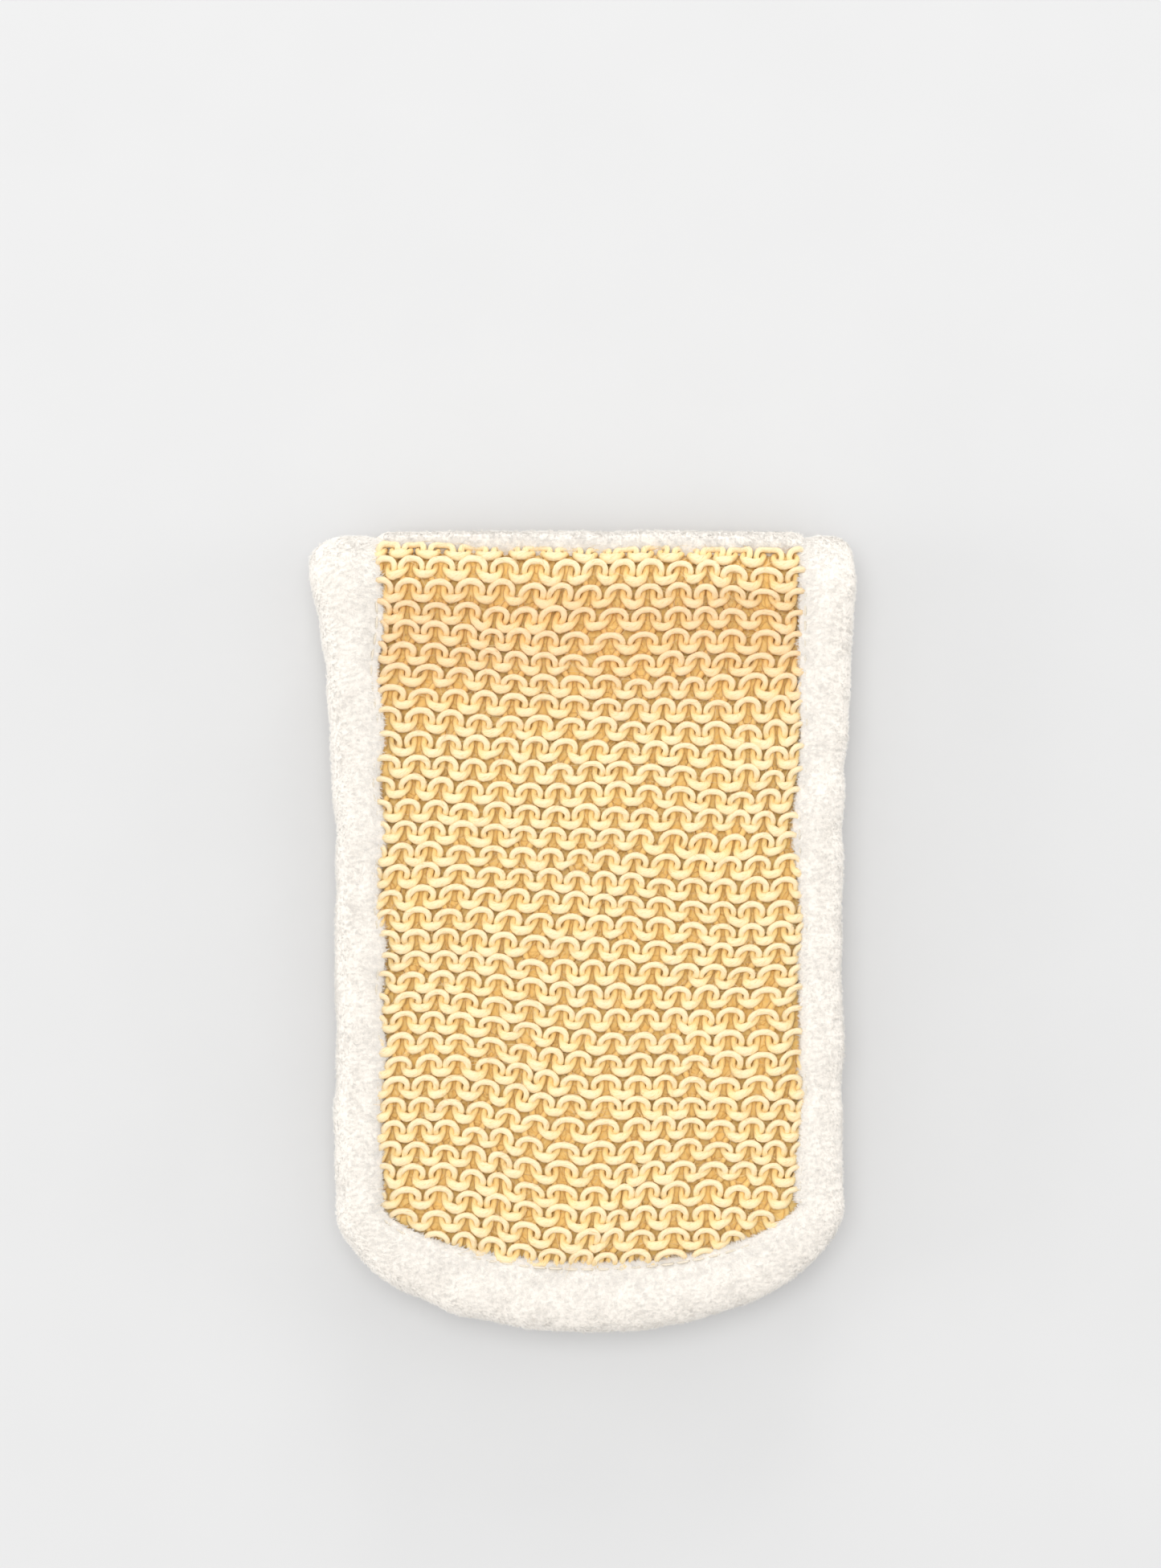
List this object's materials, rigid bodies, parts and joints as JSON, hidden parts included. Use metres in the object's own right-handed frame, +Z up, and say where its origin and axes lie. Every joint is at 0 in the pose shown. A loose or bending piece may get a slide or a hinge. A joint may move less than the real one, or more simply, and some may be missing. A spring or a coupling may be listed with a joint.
{
  "type": "loofah back scrubber",
  "caption": "Padded strap scrubber folded once across its middle, with knitted fibre faces, a terry lining and a plush edge binding; the fold opens flat.",
  "frame": {"origin": "on the floor plane, under the middle of the folded pad's length and width", "axes": "+X across the pad, +Y from the rounded end towards the fold, +Z up, out of the front half's knitted face"},
  "size_m": [0.123, 0.1816, 0.0243],
  "materials": {
    "knit": "coarse matte natural fibre yarn",
    "plush": "matte cream plush pile",
    "terry": "matte looped terry",
    "wadding": "loose golden fibre",
    "thread": "dull sewing thread"
  },
  "bodies": {
    "back_half": {"knit_panel_back": "knit", "wadding_back": "wadding", "terry_lining_back": "terry", "edge_binding_back": "plush", "binding_thread_back": "thread", "cross_band": "plush", "fold_knit_front": "knit", "fold_knit_back": "knit", "fold_wadding": "wadding", "fold_lining": "terry", "fold_binding_left": "plush", "fold_binding_right": "plush"},
    "front_half": {"knit_panel_front": "knit", "wadding_front": "wadding", "terry_lining_front": "terry", "edge_binding_front": "plush", "binding_thread_front": "thread"}
  },
  "joints": [
    {"name": "fold_hinge", "type": "hinge", "parent": "back_half", "child": "front_half", "pos_m": [0, 0.07865, 0.01215], "axis": [-1, 0, 0], "range_deg": [0, 178], "deforming": ["cross_band", "fold_knit_front", "fold_knit_back", "fold_wadding", "fold_lining", "fold_binding_left", "fold_binding_right"]}
  ]
}
